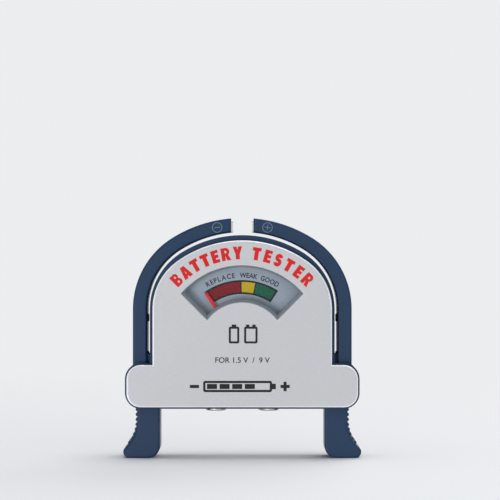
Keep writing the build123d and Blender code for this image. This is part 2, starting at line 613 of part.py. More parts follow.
def bearing_screws():
    """Front and rear jewel screws, each with a cup for the end of the shaft."""
    front = rod(0, METER_Z, BEARING_R, -8.1, SHAFT_FRONT_Y + 0.3)
    front -= rod(0, METER_Z, SHAFT_R + 0.05, SHAFT_FRONT_Y - 0.02, 0)
    front -= block(-2, 2, -8.2, -7.8, METER_Z - 0.15, METER_Z + 0.15)
    rear = rod(0, METER_Z, BEARING_R, SHAFT_BACK_Y - 0.3, 7.2)
    rear -= rod(0, METER_Z, SHAFT_R + 0.05, 0, SHAFT_BACK_Y + 0.02)
    rear -= block(-2, 2, 6.9, 7.3, METER_Z - 0.15, METER_Z + 0.15)
    return Compound(children=[front, rear])


def small_screws(reach, z, seat_y, length):
    """Two small screws driven from the front, with a slotted head in front of seat_y."""
    screws = []
    for x in (-reach, reach):
        face_y = seat_y - SMALL_HEAD_T
        head = rod(x, z, SMALL_HEAD_R, face_y, seat_y)
        head -= block(x - 2, x + 2, face_y - 1, face_y + 0.25, z - 0.15, z + 0.15)
        screws.append(head + rod(x, z, SMALL_SHANK_R, seat_y, seat_y + length))
    return Compound(children=screws)


def dial_plate():
    """The printed scale plate, with an ear over each dial post."""
    plate = sector(8.7, 20.6, 58.0, 55.0)
    for side in (-1, 1):
        plate += disc(side * DIAL_POST_X, DIAL_POST_Z, 2.0)
        plate += Pos(side * 11.0, DIAL_POST_Z + 1.6) * Rectangle(5.0, 3.0)
    for side in (-1, 1):
        plate -= disc(side * DIAL_POST_X, DIAL_POST_Z, SMALL_HOLE_R + 0.05)
    plate -= disc(0, METER_Z, 8.7)
    return slab(plate, DIAL_Y, DIAL_Y + DIAL_THICK)


def turned(shape):
    """A piece drawn with the pointer straight up, turned about the meter axis to its rest angle."""
    axis = Axis((0, 0, METER_Z), (0, 1, 0))
    return shape.rotate(axis, POINTER_REST)


def pointer():
    blade = make_face(
        Polyline(
            (-0.5, METER_Z),
            (-0.34, METER_Z + POINTER_R - 0.4),
            (0, METER_Z + POINTER_R),
            (0.34, METER_Z + POINTER_R - 0.4),
            (0.5, METER_Z),
            (0.45, METER_Z - 5.4),
            (-0.45, METER_Z - 5.4),
            close=True,
        )
    )
    blade += disc(0, METER_Z, 1.3)
    blade -= disc(0, METER_Z, SHAFT_R)
    needle = slab(blade, POINTER_Y, POINTER_Y + POINTER_THICK)
    hub = slab(disc(0, METER_Z, 1.0) - disc(0, METER_Z, SHAFT_R), POINTER_Y, -5.2)
    return turned(needle + hub)


def balance_weight():
    """A brass weight soldered on the pointer's tail."""
    weight = rod(0, METER_Z - 4.3, 0.95, POINTER_Y + POINTER_THICK, POINTER_Y + POINTER_THICK + 1.5)
    return turned(weight)


def pointer_shaft():
    front = rod(0, METER_Z, SHAFT_R, SHAFT_FRONT_Y, -COIL_OUT_HALF)
    back = rod(0, METER_Z, SHAFT_R, COIL_OUT_HALF, SHAFT_BACK_Y)
    return turned(Compound(children=[front, back]))


def coil_ring(in_r, out_r, in_half, out_half, width):
    """A rectangular frame round the core, in the plane of the meter axis and the X axis."""
    outer = block(-out_r, out_r, -out_half, out_half, METER_Z - width / 2, METER_Z + width / 2)
    return outer - block(-in_r, in_r, -in_half, in_half, METER_Z - width, METER_Z + width)


def coil_former():
    """An aluminium frame that carries the winding and damps the swing."""
    return turned(coil_ring(COIL_IN_R, COIL_IN_R + 0.3, COIL_IN_HALF, COIL_OUT_HALF, COIL_WIDTH))


def coil_winding():
    """The enamelled winding on the former."""
    low, high = COIL_IN_HALF + 0.3, COIL_OUT_HALF - 0.25
    inside = coil_ring(COIL_IN_R + 0.3, COIL_OUT_R, low, high, COIL_WIDTH - 0.3)
    former = coil_ring(COIL_IN_R, COIL_IN_R + 0.3, COIL_IN_HALF, COIL_OUT_HALF, COIL_WIDTH)
    return turned(inside - former)


def hairspring_anchors():
    """The fixed pins at the outer ends of the hairsprings, in the front bridge and in the base."""
    reach = HAIRSPRING_END_R + HAIRSPRING_T / 2 + 0.25
    front = rod(*polar(0, METER_Z, reach, 90 + HAIRSPRING_TURN), 0.25, BRIDGE_BACK_Y, -4.3)
    rear = rod(*polar(0, METER_Z, reach, 90), 0.25, 4.1, FRAME_BASE_Y)
    return Compound(children=[front, rear])


def hairspring(y, turn):
    """A flat spiral of half circles about two centres, which makes every joint tangent."""
    shift, turns = 0.36, 6
    edges_out, edges_in = [], []
    r = SHAFT_R + 0.25
    for half_turn in range(turns):
        cx = shift / 2 if half_turn % 2 else -shift / 2
        start = 90 + 180 * half_turn
        edges_out.append(arc(cx, METER_Z, r + HAIRSPRING_T / 2, start, start + 180))
        edges_in.append(arc(cx, METER_Z, r - HAIRSPRING_T / 2, start, start + 180))
        r += shift
    caps = [Line(edges_out[0] @ 0, edges_in[0] @ 0), Line(edges_out[-1] @ 1, edges_in[-1] @ 1)]
    spiral = slab(make_face([*edges_out, *edges_in, *caps]), y, y + HAIRSPRING_H)
    return spiral.rotate(Axis((0, 0, METER_Z), (0, 1, 0)), turn)


# ================= circuit =================


def circuit_board():
    board = Pos(0, (BOARD_BOTTOM_Z + BOARD_TOP_Z) / 2) * Rectangle(
        2 * BOARD_HALF, BOARD_TOP_Z - BOARD_BOTTOM_Z
    )
    for side in (-1, 1):
        board -= disc(side * BOARD_SCREW_X, BOARD_SCREW_Z, SMALL_HOLE_R + 0.08)
    return slab(board, BOARD_FRONT_Y, BOARD_BACK_Y)


def resistor(z, body_r, body_length, lead_x):
    """An axial resistor standing off the front of the board, with its leads bent back into it."""
    y = BOARD_FRONT_Y - body_r - 0.3
    body = Pos(0, y, z) * (Rot(0, 90, 0) * Cylinder(body_r, body_length))
    body = fillet(body.edges().filter_by(GeomType.CIRCLE), body_r * 0.35)
    for side in (-1, 1):
        points = [(side * body_length / 2, y, z), (side * lead_x, y, z), (side * lead_x, BOARD_FRONT_Y, z)]
        body += wire(points, 0.3, 0.6)
    return body


# ================= build =================


def build():
    right = lever_right()
    strip = contact_strip()
    rivets = strip_rivets()
    spring = return_spring()
    lead_left, lead_right, block_leads, meter_leads = leads()
    resistors = {name: resistor(*sizes) for name, sizes in RESISTORS.items()}
    screws = {name: small_screws(*sizes) for name, sizes in SMALL_SCREWS.items()}
    return {
        "front_cover": front_cover(),
        "front_frame": front_frame(),
        "rear_case": rear_case(),
        "window_lens": window_lens(),
        "case_screws": case_screws(),
        "pivot_pins": pivot_pins(),
        "lever_left": left_of(right) - left_of(polarity_sign(plus=False)),
        "lever_right": right - polarity_sign(plus=True),
        "contact_strip_left": left_of(strip),
        "contact_strip_right": strip,
        "strip_rivets_left": left_of(rivets),
        "strip_rivets_right": rivets,
        "return_spring_left": left_of(spring),
        "return_spring_right": spring,
        "spring_tags": spring_tags(),
        "block_stud_left": block_stud(-STUD_X),
        "block_stud_right": block_stud(STUD_X),
        "lead_left": lead_left,
        "lead_right": lead_right,
        "block_leads": block_leads,
        "meter_leads": meter_leads,
        "meter_frame": meter_frame(),
        "meter_yoke": meter_yoke(),
        "core_magnet": core_magnet(),
        "core_clips": core_clips(),
        "front_bridge": front_bridge(),
        "bearing_screws": bearing_screws(),
        "dial_plate": dial_plate(),
        "pointer": pointer(),
        "balance_weight": balance_weight(),
        "pointer_shaft": pointer_shaft(),
        "coil_former": coil_former(),
        "coil_winding": coil_winding(),
        "hairspring_front": hairspring(-4.8, HAIRSPRING_TURN),
        "hairspring_rear": hairspring(4.2, 0),
        "hairspring_anchors": hairspring_anchors(),
        "meter_terminals": meter_terminals(),
        "circuit_board": circuit_board(),
        **resistors,
        **screws,
    }


for name, shape in build().items():
    export_step(shape, f"parts/{name}.step")
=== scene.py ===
"""Looks for the battery tester: materials on the CAD nodes, printing, dial scale, studio."""

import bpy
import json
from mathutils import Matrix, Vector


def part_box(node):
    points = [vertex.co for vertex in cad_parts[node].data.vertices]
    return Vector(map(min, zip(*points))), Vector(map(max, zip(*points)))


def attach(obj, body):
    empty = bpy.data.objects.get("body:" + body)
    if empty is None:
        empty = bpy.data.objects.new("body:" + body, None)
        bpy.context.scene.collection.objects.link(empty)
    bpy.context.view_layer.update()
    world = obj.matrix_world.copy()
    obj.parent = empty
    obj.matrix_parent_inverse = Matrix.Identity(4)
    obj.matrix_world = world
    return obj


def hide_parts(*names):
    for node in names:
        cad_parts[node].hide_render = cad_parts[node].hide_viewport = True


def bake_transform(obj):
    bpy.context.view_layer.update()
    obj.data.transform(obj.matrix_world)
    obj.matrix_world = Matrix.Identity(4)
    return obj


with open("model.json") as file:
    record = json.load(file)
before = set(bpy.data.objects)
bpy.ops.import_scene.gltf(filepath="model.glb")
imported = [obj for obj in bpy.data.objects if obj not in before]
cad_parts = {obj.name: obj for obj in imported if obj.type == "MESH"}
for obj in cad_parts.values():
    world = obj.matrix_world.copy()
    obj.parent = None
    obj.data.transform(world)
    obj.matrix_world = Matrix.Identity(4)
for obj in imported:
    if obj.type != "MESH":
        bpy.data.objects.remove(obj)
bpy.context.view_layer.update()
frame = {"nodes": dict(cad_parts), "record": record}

import json
from math import cos, pi, radians, sin

import bmesh
import bpy
from mathutils import Matrix, Vector

MM = 0.001
NODES = frame["nodes"]
COVER_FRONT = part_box("front_cover")[0][1]
DIAL_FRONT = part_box("dial_plate")[0][1]
BACK_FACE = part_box("rear_case")[1][1]
ARM_FRONT = -6.5 * MM
METER_HEIGHT = 27.0  # of the meter's axis above the ground, in millimetres
METER_Z = METER_HEIGHT * MM
# darker grey painted on the window's sloping walls as shade in the recess
WINDOW_WALL_SHADE = (0.31, 0.345, 0.385)
WINDOW_REACH = 19.5 * MM  # the window's walls are nearer to the meter's axis than this
WINDOW_LIP = 0.28 * MM  # depth of the bright edge in front of the window's walls
BACKDROP = (0.84, 0.85, 0.86, 1)

# Printing. Lengths without MM are in millimetres, and angles are in degrees from the top.
INK = 0.02 * MM  # thickness of a printed layer
FONT_CAPITAL = 0.729  # height of a capital in Blender's own font at size 1
TITLE_R, TITLE_HEIGHT, TITLE_SQUEEZE = 20.6, 3.05, 0.93
TITLE_WORDS = (("BATTERY", -47.5, 0.1), ("TESTER", 6.2, 47.5))
WORD_R, WORD_HEIGHT, WORD_WEIGHT, WORD_SQUEEZE = 16.2, 1.2, 0.04, 0.88
DIAL_WORDS = (("REPLACE", -30.9, -6.2), ("WEAK", -2.1, 12.6), ("GOOD", 15.4, 31.1))
SCALE_BORDER = (12.25, 15.6, -35.9, 33.4)  # inner and outer radius, then start and end
BAND_IN, BAND_OUT = 12.7, 15.15
BANDS = ((-34.2, -2.0), (-0.6, 11.8), (13.2, 31.7))  # red, yellow and green
VOLTAGES_Z, VOLTAGES_HEIGHT, SMALL_WEIGHT = 22.95, 1.35, 0.02
LONG_CELL_X, LONG_CELL_Z = -1.1, 17.3
ARCH_TOP, ARCH_R = 57.5, 31.67  # of the outer edge of the arms
ARCH_MIDDLE = 1.7  # from that edge to the middle of an arm
POLARITY_ANGLE, POLARITY_RING_R, POLARITY_LINE, POLARITY_SIGN = 11.6, 1.24, 0.2, 1.48
POLARITY_DEPTH, POLARITY_FILL = 0.15 * MM, 0.08 * MM  # of the engraving, and of the ink in it
LABEL_Z, LABEL_SIZE, LABEL_CORNER = 33.0, (23.6, 16.6), 1.3
LABEL_RECESS, LABEL_THICK = 0.3 * MM, 0.1 * MM


# ================= material building =================


class Shader:
    """A small wrapper round a node tree with one Principled shader.

    stretched, noise, ramp, math, mix and edges each give back a socket.
    """

    def __init__(self, name, color, roughness, metallic=0.0):
        self.material = bpy.data.materials.new(name)
        self.material.use_nodes = True
        self.tree = self.material.node_tree
        self.principled = self.tree.nodes["Principled BSDF"]
        self.set(**{"Base Color": (*color, 1), "Roughness": roughness, "Metallic": metallic})
        coords = self.node("ShaderNodeTexCoord")
        self.coords = coords.outputs["Object"]

    def set(self, **values):
        for key, value in values.items():
            self.principled.inputs[key].default_value = value
        return self

    def node(self, kind, **inputs):
        made = self.tree.nodes.new(kind)
        for key, value in inputs.items():
            self.plug(made.inputs[key.replace("_", " ")], value)
        return made

    def plug(self, socket, value):
        if isinstance(value, bpy.types.NodeSocket):
            self.tree.links.new(value, socket)
        else:
            socket.default_value = value

    def stretched(self, scale):
        """Object coordinates scaled unevenly, for grain that runs along one axis."""
        mapping = self.node("ShaderNodeMapping", Vector=self.coords, Scale=scale)
        return mapping.outputs["Vector"]

    def noise(self, scale, detail=3.0, vector=None, rough=0.5):
        made = self.node(
            "ShaderNodeTexNoise",
            Vector=vector or self.coords,
            Scale=scale,
            Detail=detail,
            Roughness=rough,
        )
        return made.outputs["Fac"]

    def ramp(self, value, low, high, out_low, out_high):
        made = self.node(
            "ShaderNodeMapRange",
            Value=value,
            From_Min=low,
            From_Max=high,
            To_Min=out_low,
            To_Max=out_high,
        )
        return made.outputs["Result"]

    def math(self, operation, a, b):
        made = self.node("ShaderNodeMath")
        made.operation = operation
        self.plug(made.inputs[0], a)
        self.plug(made.inputs[1], b)
        return made.outputs[0]

    def mix(self, factor, a, b):
        made = self.tree.nodes.new("ShaderNodeMix")
        made.data_type = "RGBA"
        self.plug(made.inputs["Factor"], factor)
        self.plug(made.inputs[6], a)
        self.plug(made.inputs[7], b)
        return made.outputs[2]

    def edges(self, radius):
        """1 on convex and concave edges within radius, 0 on open surface."""
        bevel = self.node("ShaderNodeBevel", Radius=radius)
        bevel.samples = 4
        plain = self.node("ShaderNodeNewGeometry")
        dot = self.node("ShaderNodeVectorMath")
        dot.operation = "DOT_PRODUCT"
        self.plug(dot.inputs[0], bevel.outputs["Normal"])
        self.plug(dot.inputs[1], plain.outputs["Normal"])
        return self.ramp(dot.outputs["Value"], 0.995, 0.9, 0.0, 1.0)

    def color(self, socket):
        self.plug(self.principled.inputs["Base Color"], socket)

    def roughness(self, socket):
        self.plug(self.principled.inputs["Roughness"], socket)

    def bump(self, height, strength, distance, round_radius=0.0):
        """Bump from a height, over edges that shade as if rounded by round_radius."""
        made = self.node("ShaderNodeBump", Height=height, Strength=strength, Distance=distance)
        if round_radius:
            bevel = self.node("ShaderNodeBevel", Radius=round_radius)
            bevel.samples = 4
            self.plug(made.inputs["Normal"], bevel.outputs["Normal"])
        self.plug(self.principled.inputs["Normal"], made.outputs["Normal"])
        return self


def rgb(color):
    """The colour with full opacity."""
    return (*color, 1)


def shade(color, factor):
    """The colour made darker or lighter by a factor, up to white."""
    return rgb([min(1.0, c * factor) for c in color])


def moulded(name, color, rough, grain=9000.0, relief=0.02):
    """Moulded plastic: fine spark-eroded grain, slow colour drift, and edges made lighter, partly as
    rubbed wear and partly as a painted highlight.
    """
    s = Shader(name, color, rough).set(**{"Specular IOR Level": 0.24})
    drift = s.noise(60.0, 2.0)
    fine = s.noise(grain, 2.0)
    body = s.mix(drift, shade(color, 0.93), shade(color, 1.07))
    body = s.mix(s.ramp(fine, 0.35, 0.65, 0.0, 1.0), body, s.mix(0.012, body, rgb((1, 1, 1))))
    # edges lighter: partly rubbed wear, partly painted highlight
    s.color(s.mix(s.math("MULTIPLY", s.edges(0.25 * MM), 0.6), body, shade(color, 1.35)))
    smudge = s.noise(220.0, 4.0, rough=0.6)
    s.roughness(s.ramp(smudge, 0.3, 0.7, rough - 0.05, rough + 0.05))
    return s.bump(fine, 0.35, relief * MM, round_radius=0.12 * MM)


def window_shade_mask(s):
    """1 on the sloping walls of the window opening, which get a painted shade, else 0."""
    place = s.node("ShaderNodeSeparateXYZ", Vector=s.coords)
    up = s.math("SUBTRACT", place.outputs["Z"], METER_Z)
    flat = s.node("ShaderNodeCombineXYZ", X=place.outputs["X"], Y=up)
    reach = s.node("ShaderNodeVectorMath")
    reach.operation = "LENGTH"
    s.plug(reach.inputs[0], flat.outputs["Vector"])
    near = s.math("LESS_THAN", reach.outputs["Value"], WINDOW_REACH)
    behind = s.math("GREATER_THAN", place.outputs["Y"], COVER_FRONT + WINDOW_LIP)
    return s.math("MULTIPLY", near, behind)


def bevel_highlight_mask(s):
    """1 on the cover's surfaces that lean away from its flat front, where a painted highlight goes, else
    0.
    """
    facing = s.node("ShaderNodeSeparateXYZ", Vector=s.node("ShaderNodeNewGeometry").outputs["Normal"])
    lean = facing.outputs["Y"]
    off_flat = s.ramp(lean, -0.985, -0.9, 0.0, 1.0)
    off_side = s.ramp(lean, -0.3, -0.1, 1.0, 0.0)
    return s.math("MULTIPLY", off_flat, off_side)


def silver_lacquer(name, color):
    """Satin silver lacquer on plastic: metallic flakes, a faint level grain, painted highlights on the
    edges and bevels, and painted shade on the window's walls.
    """
    s = Shader(name, color, 0.42, 0.35)
    flakes = s.node("ShaderNodeTexVoronoi", Vector=s.coords, Scale=7000.0)
    flake = s.ramp(flakes.outputs["Distance"], 0.1, 0.8, 0.0, 1.0)
    grain = s.noise(1.0, 4.0, s.stretched((900.0, 900.0, 6000.0)))
    cloud = s.noise(45.0, 3.0)
    body = s.mix(cloud, shade(color, 0.95), shade(color, 1.05))
    body = s.mix(s.ramp(grain, 0.3, 0.7, 0.0, 0.5), body, shade(color, 0.86))
    body = s.mix(s.ramp(flake, 0.0, 1.0, 0.0, 0.22), body, shade(color, 1.25))
    # painted highlight: the silver colour is made lighter along the edges
    body = s.mix(s.math("MULTIPLY", s.edges(0.3 * MM), 0.7), body, shade(color, 1.5))
    # painted highlight: bevels leaning away from the front are coloured nearly twice as light
    body = s.mix(bevel_highlight_mask(s), body, shade(color, 2.0))
    # painted shade: the window's sloping walls are coloured a darker grey
    s.color(s.mix(window_shade_mask(s), body, rgb(WINDOW_WALL_SHADE)))
    s.roughness(s.ramp(grain, 0.3, 0.7, 0.36, 0.5))
    height = s.math("ADD", s.math("MULTIPLY", flake, 0.4), grain)
    s.set(**{"Coat Weight": 0.12, "Coat Roughness": 0.25})
    return s.bump(height, 0.25, 0.01 * MM, round_radius=0.15 * MM)


def metal(name, color, rough, lay=(2500.0, 2500.0, 2500.0), tarnish=0.85, relief=0.004):
    """Metal with tool marks along one direction, tarnish in patches and brighter edges."""
    s = Shader(name, color, rough, 1.0)
    lines = s.noise(1.0, 5.0, s.stretched(lay))
    patches = s.noise(350.0, 4.0, rough=0.65)
    body = s.mix(s.ramp(patches, 0.4, 0.75, 0.0, 1.0), rgb(color), shade(color, tarnish))
    s.color(s.mix(s.math("MULTIPLY", s.edges(0.15 * MM), 0.5), body, shade(color, 1.2)))
    spread = s.math("ADD", s.ramp(lines, 0.3, 0.7, -0.06, 0.08), s.ramp(patches, 0.3, 0.8, 0.0, 0.1))
    s.roughness(s.math("ADD", spread, rough))
    return s.bump(lines, 0.4, relief * MM, round_radius=0.06 * MM)


def lacquer(name, color, rough):
    """Thin printed or sprayed colour, slightly uneven."""
    s = Shader(name, color, rough).set(**{"Specular IOR Level": 0.2})
    dots = s.noise(5000.0, 2.0)
    cloud = s.noise(300.0, 3.0)
    body = s.mix(s.ramp(dots, 0.35, 0.65, 0.0, 1.0), shade(color, 0.9), shade(color, 1.1))
    s.color(s.mix(s.ramp(cloud, 0.3, 0.7, 0.0, 0.35), body, shade(color, 0.85)))
    s.roughness(s.ramp(dots, 0.3, 0.7, rough - 0.05, rough + 0.08))
    return s.bump(dots, 0.2, 0.004 * MM)


def clear_window(name):
    """Polished clear plastic: mostly see-through, with a faint haze and real reflections."""
    s = Shader(name, (0.12, 0.14, 0.16), 0.05)
    haze = s.noise(120.0, 3.0)
    s.roughness(s.ramp(haze, 0.3, 0.7, 0.04, 0.09))
    s.plug(s.principled.inputs["Alpha"], s.ramp(haze, 0.3, 0.7, 0.02, 0.04))
    s.set(**{"IOR": 1.49})
    s.material.use_transparent_shadow = True
    return s


def laminate(name, color):
    """Phenolic paper board with a faint fibre pattern."""
    s = Shader(name, color, 0.45)
    fibre = s.noise(1.0, 5.0, s.stretched((900.0, 2000.0, 4200.0)))
    s.color(s.mix(s.ramp(fibre, 0.3, 0.7, 0.0, 1.0), shade(color, 0.75), shade(color, 1.2)))
    s.roughness(s.ramp(fibre, 0.3, 0.7, 0.38, 0.55))
    return s.bump(fibre, 0.4, 0.01 * MM)


def insulation(name, color):
    """Soft glossy wire covering with smeared patches."""
    s = Shader(name, color, 0.4)
    smear = s.noise(500.0, 4.0)
    s.color(s.mix(smear, shade(color, 0.8), shade(color, 1.15)))
    s.roughness(s.ramp(smear, 0.3, 0.7, 0.32, 0.5))
    s.set(**{"Coat Weight": 0.2, "Coat Roughness": 0.3})
    return s.bump(smear, 0.3, 0.02 * MM)


def copper_winding(name, color):
    """Enamelled wire laid side by side: fine ribs across the winding, with painted shade in the grooves
    between turns and a painted highlight on their crowns.
    """
    s = Shader(name, color, 0.28, 1.0)
    wave = s.node("ShaderNodeTexWave", Vector=s.coords, Scale=1600.0, Distortion=0.4)
    wave.bands_direction = "Z"
    # painted shade and highlight: darker in the grooves, lighter on the crowns of the turns
    s.color(s.mix(wave.outputs["Fac"], shade(color, 0.6), shade(color, 1.15)))
    s.roughness(s.ramp(s.noise(900.0), 0.3, 0.7, 0.2, 0.36))
    s.set(**{"Coat Weight": 0.5, "Coat Roughness": 0.15})
    return s.bump(wave.outputs["Fac"], 0.6, 0.03 * MM)


def resistor_lacquer(name, color):
    """Resistor lacquer, with two colour bands across each half of a body."""
    s = Shader(name, color, 0.3)
    place = s.node("ShaderNodeSeparateXYZ", Vector=s.coords)
    x = s.math("ABSOLUTE", place.outputs["X"], 0.0)
    bands = (
        (0.6 * MM, 1.1 * MM, (0.25, 0.09, 0.02)),
        (1.5 * MM, 2.0 * MM, (0.02, 0.02, 0.02)),
    )
    body = s.mix(s.noise(900.0), shade(color, 0.85), shade(color, 1.1))
    for low, high, tint in bands:
        inside = s.math("MULTIPLY", s.math("GREATER_THAN", x, low), s.math("LESS_THAN", x, high))
        body = s.mix(inside, body, rgb(tint))
    s.color(body)
    s.roughness(s.ramp(s.noise(700.0), 0.3, 0.7, 0.24, 0.38))
    s.set(**{"Coat Weight": 0.4, "Coat Roughness": 0.12})
    return s.bump(s.noise(2500.0), 0.2, 0.01 * MM)


NAVY = (0.003, 0.028, 0.080)
SILVER = (0.46, 0.467, 0.484)
MATERIALS = {
    "cover_plastic": silver_lacquer("silver_lacquer", SILVER),
    "case_plastic": moulded("navy_case", NAVY, 0.5, relief=0.03),
    "lever_plastic": moulded("navy_lever", NAVY, 0.36, grain=12000.0, relief=0.012),
    "window_plastic": clear_window("clear_window"),
    "screw_steel": metal("zinc_screws", (0.62, 0.62, 0.6), 0.34),
    "pin_steel": metal("ground_pins", (0.6, 0.6, 0.61), 0.22, (900.0, 9000.0, 900.0)),
    "contact_metal": metal("nickel_contacts", (0.7, 0.67, 0.6), 0.24, (5000.0, 600.0, 5000.0)),
    "rivet_brass": metal("turned_brass", (0.75, 0.52, 0.2), 0.3),
    "spring_steel": metal("spring_wire", (0.45, 0.45, 0.46), 0.32),
    "hairspring_bronze": metal("hairspring_bronze", (0.6, 0.34, 0.14), 0.3),
    "lead_insulation": insulation("red_insulation", (0.4, 0.02, 0.015)),
    "meter_moulding": moulded("black_phenolic", (0.02, 0.02, 0.021), 0.42),
    "yoke_steel": metal("soft_iron", (0.42, 0.42, 0.43), 0.38, (900.0, 9000.0, 900.0)),
    "magnet": metal("cast_magnet", (0.3, 0.3, 0.31), 0.5, (1200.0, 1200.0, 1200.0), 0.7, 0.02),
    "dial_paint": lacquer("dial_lacquer", (0.36, 0.42, 0.50), 0.5),
    "pointer_paint": lacquer("pointer_red", (0.72, 0.02, 0.03), 0.35),
    "former_aluminium": metal("former_aluminium", (0.8, 0.8, 0.81), 0.25),
    "copper_wire": copper_winding("enamelled_copper", (0.7, 0.27, 0.1)),
    "board_laminate": laminate("board_laminate", (0.34, 0.2, 0.075)),
    "resistor_body": resistor_lacquer("resistor_lacquer", (0.5, 0.34, 0.18)),
}

for row in frame["record"]["subparts"]:
    node = NODES[row["node"]]
    node.data.materials.clear()
    node.data.materials.append(MATERIALS[row["material_slot"]].material)
    for polygon in node.data.polygons:
        polygon.use_smooth = True


# ================= return springs =================


def twisting_spring(side):
    """The return spring, whose coil winds up between the tang in the lever and the tang in the case."""
    node = NODES["return_spring_" + side]
    mesh = node.data.copy()
    mesh.transform(node.matrix_world)
    bm = bmesh.new()
    bm.from_mesh(mesh)
    bmesh.ops.remove_doubles(bm, verts=bm.verts, dist=0.0001 * MM)
    bm.to_mesh(mesh)
    bm.free()
    piece = bpy.data.objects.new("twisting_spring_" + side, mesh)
    bpy.context.scene.collection.objects.link(piece)
    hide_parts("return_spring_" + side)
    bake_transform(piece)


for side in ("left", "right"):
    twisting_spring(side)


# ================= printed pieces =================


def piece_from(bm, name, materials, body):
    """Makes a piece of its own from a bmesh, with the given materials, which rides on a body."""
    mesh = bpy.data.meshes.new(name)
    bmesh.ops.remove_doubles(bm, verts=bm.verts, dist=0.001 * MM)
    bmesh.ops.recalc_face_normals(bm, faces=bm.faces)
    bm.to_mesh(mesh)
    bm.free()
    for material in materials:
        mesh.materials.append(material.material)
    piece = bpy.data.objects.new(name, mesh)
    bpy.context.scene.collection.objects.link(piece)
    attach(piece, body)


def add_prism(bm, outline, near_y, far_y, index=0):
    """A thin closed slab between two Y levels over an outline of (x, z) points in millimetres."""
    near = [bm.verts.new((x * MM, near_y, z * MM)) for x, z in outline]
    far = [bm.verts.new((x * MM, far_y, z * MM)) for x, z in outline]
    faces = [bm.faces.new(near), bm.faces.new(list(reversed(far)))]
    count = len(outline)
    for i in range(count):
        j = (i + 1) % count
        faces.append(bm.faces.new((near[i], far[i], far[j], near[j])))
    for face in faces:
        face.material_index = index


def add_loop(bm, outer, inner, near_y, far_y):
    """A thin closed slab between two outlines that have the same number of (x, z) points."""
    rings = []
    for outline in (outer, inner):
        rings.append([[bm.verts.new((x * MM, y, z * MM)) for y in (near_y, far_y)] for x, z in outline])
    a, b = rings
    count = len(outer)
    for i in range(count):
        j = (i + 1) % count
        bm.faces.new((a[i][0], a[j][0], b[j][0], b[i][0]))
        bm.faces.new((a[i][1], b[i][1], b[j][1], a[j][1]))
        bm.faces.new((a[i][0], a[i][1], a[j][1], a[j][0]))
        bm.faces.new((b[i][0], b[j][0], b[j][1], b[i][1]))


def arc_points(cx, cz, r, start, end, steps):
    """Points on an arc, angles in degrees from +Z towards +X."""
    return [
        (
            cx + r * sin(radians(start + (end - start) * i / steps)),
            cz + r * cos(radians(start + (end - start) * i / steps)),
        )
        for i in range(steps + 1)
    ]


def add_sector(bm, r_in, r_out, start, end, near_y, far_y, index=0):
    """A flat sector ring round the meter's axis."""
    steps = max(2, int(abs(end - start) / 2.5))
    inner = arc_points(0.0, METER_HEIGHT, r_in, start, end, steps)
    outer = arc_points(0.0, METER_HEIGHT, r_out, start, end, steps)
    add_prism(bm, outer + inner[::-1], near_y, far_y, index)


def add_ring(bm, x, z, r, width, near_y, far_y):
    """A flat ring round (x, z)."""
    outer, inner = [arc_points(x, z, radius, 0, 360, 48)[:-1] for radius in (r, r - width)]
    add_loop(bm, outer, inner, near_y, far_y)


def rounded_outline(x, z, width, height, r):
    """Outline points of a rounded rectangle centred on (x, z)."""
    points = []
    corners = ((1, 1, 0), (1, -1, 90), (-1, -1, 180), (-1, 1, 270))
    for sx, sz, start in corners:
        cx, cz = x + sx * (width / 2 - r), z + sz * (height / 2 - r)
        points += arc_points(cx, cz, r, start, start + 90, 6)
    return points


def add_frame(bm, x, z, width, height, r, line, near_y, far_y):
    """The printed outline of a rounded rectangle, line wide."""
    outer = rounded_outline(x, z, width, height, r)
    inner = rounded_outline(x, z, width - 2 * line, height - 2 * line, max(r - line, 0.05))
    add_loop(bm, outer, inner, near_y, far_y)


def add_bar(bm, x, z, width, height, near_y, far_y):
    """A printed rectangle centred on (x, z)."""
    outline = [
        (x - width / 2, z - height / 2),
        (x + width / 2, z - height / 2),
        (x + width / 2, z + height / 2),
        (x - width / 2, z + height / 2),
    ]
    add_prism(bm, outline, near_y, far_y)


def add_battery(bm, x, z, size, r, line, terminal, offsets, near_y, far_y):
    """A battery in outline, centred on (x, z), with a terminal on top at each offset from its middle.

    size and terminal are each a width and a height.
    """
    width, height = size
    add_frame(bm, x, z, width, height, r, line, near_y, far_y)
    terminal_z = z + (height + terminal[1]) / 2
    for offset in offsets:
        add_bar(bm, x + offset, terminal_z, *terminal, near_y, far_y)


# ================= lettering =================


def mesh_of(curve):
    """The filled mesh of a text or a curve."""
    holder = bpy.data.objects.new("glyphs", curve)
    bpy.context.scene.collection.objects.link(holder)
    bpy.context.view_layer.update()
    depsgraph = bpy.context.evaluated_depsgraph_get()
    mesh = bpy.data.meshes.new_from_object(holder.evaluated_get(depsgraph))
    bpy.data.objects.remove(holder)
    return mesh


def glyphs(text, height, weight, squeeze=1.0):
    """A text in Blender's own font as a thin flat mesh in metres, base line at 0, centred on x."""
    curve = bpy.data.curves.new("glyphs", "FONT")
    curve.body = text
    curve.align_x = "CENTER"
    curve.size = height / FONT_CAPITAL * MM
    curve.offset = weight * MM
    curve.extrude = INK
    curve.resolution_u = 6
    mesh = mesh_of(curve)
    mesh.transform(Matrix.Diagonal((squeeze, 1, 1, 1)))
    return mesh


def stroke(path, half):
    """The outline of a thick line along a path of (x, z) points."""
    left, right = [], []
    for i, (x, z) in enumerate(path):
        ax, az = path[max(i - 1, 0)]
        bx, bz = path[min(i + 1, len(path) - 1)]
        length = ((bx - ax) ** 2 + (bz - az) ** 2) ** 0.5
        nx, nz = -(bz - az) / length * half, (bx - ax) / length * half
        left.append((x + nx, z + nz))
        right.append((x - nx, z - nz))
    return left + right[::-1]


